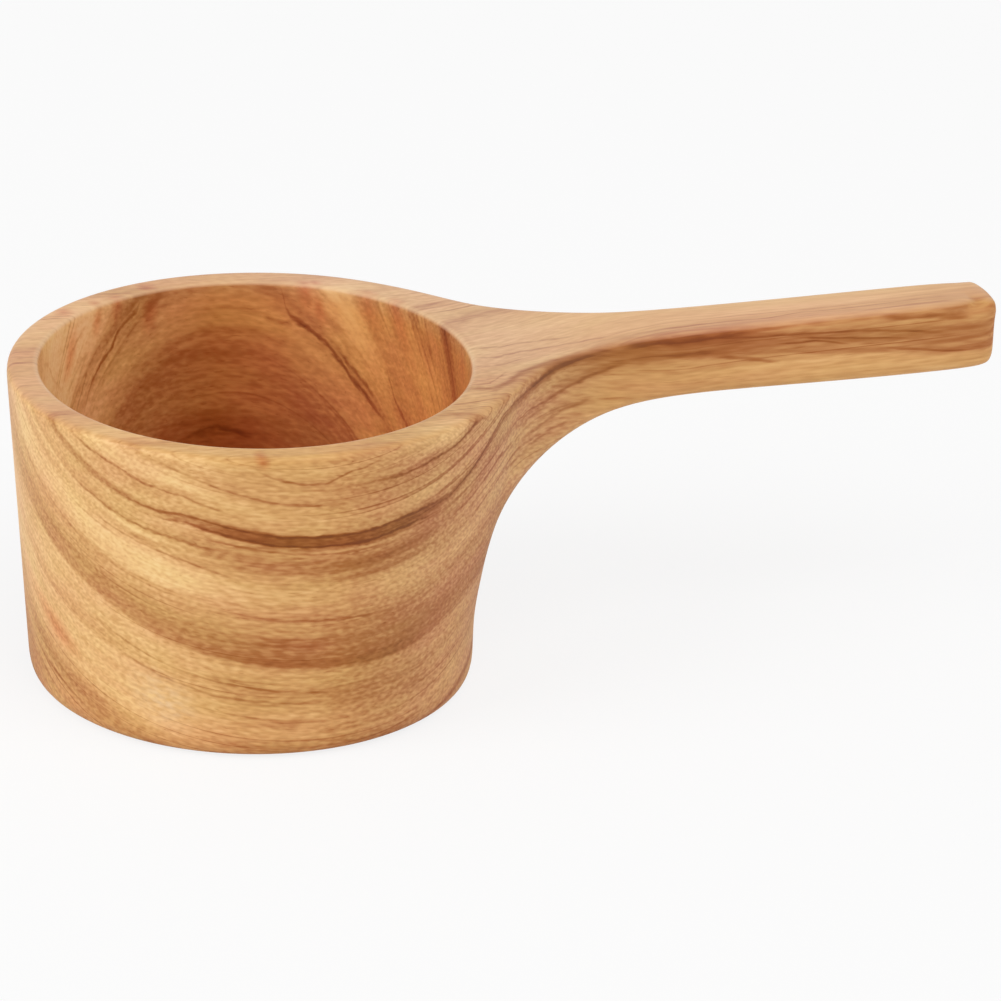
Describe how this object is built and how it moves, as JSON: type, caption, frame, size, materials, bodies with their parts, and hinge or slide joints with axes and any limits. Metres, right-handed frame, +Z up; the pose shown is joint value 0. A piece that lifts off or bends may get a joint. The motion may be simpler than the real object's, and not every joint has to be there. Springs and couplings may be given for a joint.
{
  "type": "coffee scoop",
  "caption": "Wooden coffee scoop: a tapered round cup carved in one piece with a straight square handle level with its rim.",
  "frame": {"origin": "centre of the cup's flat base, on the cup's axis", "axes": "+Z up along the cup's axis, +X along the handle away from the cup"},
  "size_m": [0.1094, 0.052, 0.0349],
  "materials": {
    "teak": "sanded smooth and oiled, satin"
  },
  "bodies": {
    "root": {"scoop_body": "teak"}
  },
  "joints": []
}
